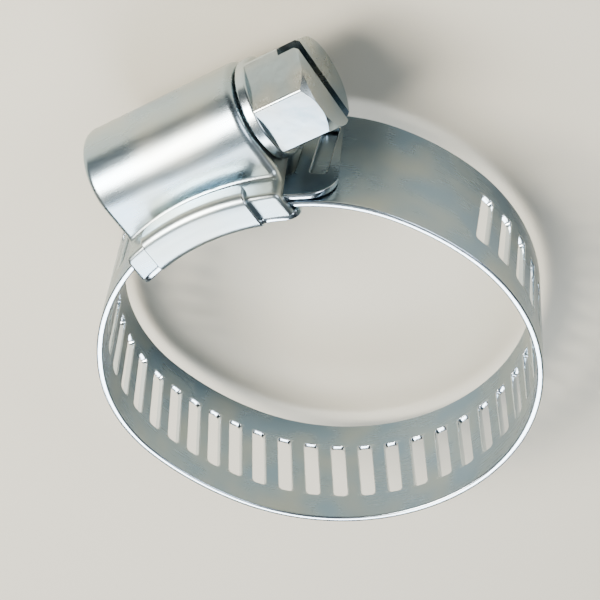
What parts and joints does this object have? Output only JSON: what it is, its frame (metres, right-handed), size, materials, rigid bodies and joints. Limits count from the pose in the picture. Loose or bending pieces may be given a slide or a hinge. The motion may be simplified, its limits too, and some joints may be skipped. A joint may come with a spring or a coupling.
{
  "type": "worm-drive hose clamp",
  "caption": "Slotted zinc-plated band closed into a ring by a hex-head worm screw in a domed housing with a saddle.",
  "frame": {"origin": "centre of the hose bore, half way across the band", "axes": "+Z along the bore; +Y towards the housing; +X towards the screw's hex head"},
  "size_m": [0.0402, 0.0486, 0.0156],
  "materials": {
    "band_zinc": "bright zinc plate on rolled strip",
    "housing_zinc": "bright zinc plate on pressed sheet",
    "screw_zinc": "bright zinc plate on a cold-headed screw"
  },
  "bodies": {
    "housing": {"housing": "housing_zinc", "saddle": "housing_zinc", "band_anchor": "band_zinc"},
    "screw": {"worm_screw": "screw_zinc"},
    "tail": {"band_tail": "band_zinc"},
    "link_01": {"band_link_01": "band_zinc"},
    "link_02": {"band_link_02": "band_zinc"},
    "link_03": {"band_link_03": "band_zinc"},
    "link_04": {"band_link_04": "band_zinc"},
    "link_05": {"band_link_05": "band_zinc"},
    "link_06": {"band_link_06": "band_zinc"},
    "link_07": {"band_link_07": "band_zinc"},
    "link_08": {"band_link_08": "band_zinc"},
    "link_09": {"band_link_09": "band_zinc"}
  },
  "joints": [
    {"name": "screw_turn", "type": "hinge", "parent": "housing", "child": "screw", "pos_m": [0, 0.0243, 0], "axis": [-1, 0, 0], "range_deg": [0, 1800]},
    {"name": "tail_feed", "type": "hinge", "parent": "housing", "child": "tail", "pos_m": [0, 0, 0], "axis": [0, 0, -1], "range_deg": [0, 37.21]},
    {"name": "bend_01", "type": "hinge", "parent": "tail", "child": "link_01", "pos_m": [-0.0183, 0.00924, 0], "axis": [0, 0, 1], "range_deg": [0, 6.81]},
    {"name": "bend_02", "type": "hinge", "parent": "link_01", "child": "link_02", "pos_m": [-0.0197, -0.00102, 0], "axis": [0, 0, 1], "range_deg": [0, 4.34]},
    {"name": "bend_03", "type": "hinge", "parent": "link_02", "child": "link_03", "pos_m": [-0.01607, -0.01013, 0], "axis": [0, 0, 1], "range_deg": [0, 3.24]},
    {"name": "bend_04", "type": "hinge", "parent": "link_03", "child": "link_04", "pos_m": [-0.00784, -0.01731, 0], "axis": [0, 0, 1], "range_deg": [0, 2.61]},
    {"name": "bend_05", "type": "hinge", "parent": "link_04", "child": "link_05", "pos_m": [0.00298, -0.01876, 0], "axis": [0, 0, 1], "range_deg": [0, 3]},
    {"name": "bend_06", "type": "hinge", "parent": "link_05", "child": "link_06", "pos_m": [0.01282, -0.01402, 0], "axis": [0, 0, 1], "range_deg": [0, 3.96]},
    {"name": "bend_07", "type": "hinge", "parent": "link_06", "child": "link_07", "pos_m": [0.01842, -0.00464, 0], "axis": [0, 0, 1], "range_deg": [0, 4.9]},
    {"name": "bend_08", "type": "hinge", "parent": "link_07", "child": "link_08", "pos_m": [0.01794, 0.00627, 0], "axis": [0, 0, 1], "range_deg": [0, 3.88]},
    {"name": "bend_09", "type": "hinge", "parent": "link_08", "child": "link_09", "pos_m": [0.01428, 0.01307, 0], "axis": [0, 0, 1], "range_deg": [0, 4.63]}
  ],
  "couplings": [
    {"joint": "tail_feed", "follows": "screw_turn", "ratio": 0.02066},
    {"joint": "bend_01", "follows": "screw_turn", "ratio": 0.0037706},
    {"joint": "bend_02", "follows": "screw_turn", "ratio": 0.0023985},
    {"joint": "bend_03", "follows": "screw_turn", "ratio": 0.0017877},
    {"joint": "bend_04", "follows": "screw_turn", "ratio": 0.0014398},
    {"joint": "bend_05", "follows": "screw_turn", "ratio": 0.0016566},
    {"joint": "bend_06", "follows": "screw_turn", "ratio": 0.0021861},
    {"joint": "bend_07", "follows": "screw_turn", "ratio": 0.0027134},
    {"joint": "bend_08", "follows": "screw_turn", "ratio": 0.0021448},
    {"joint": "bend_09", "follows": "screw_turn", "ratio": 0.0025621}
  ]
}
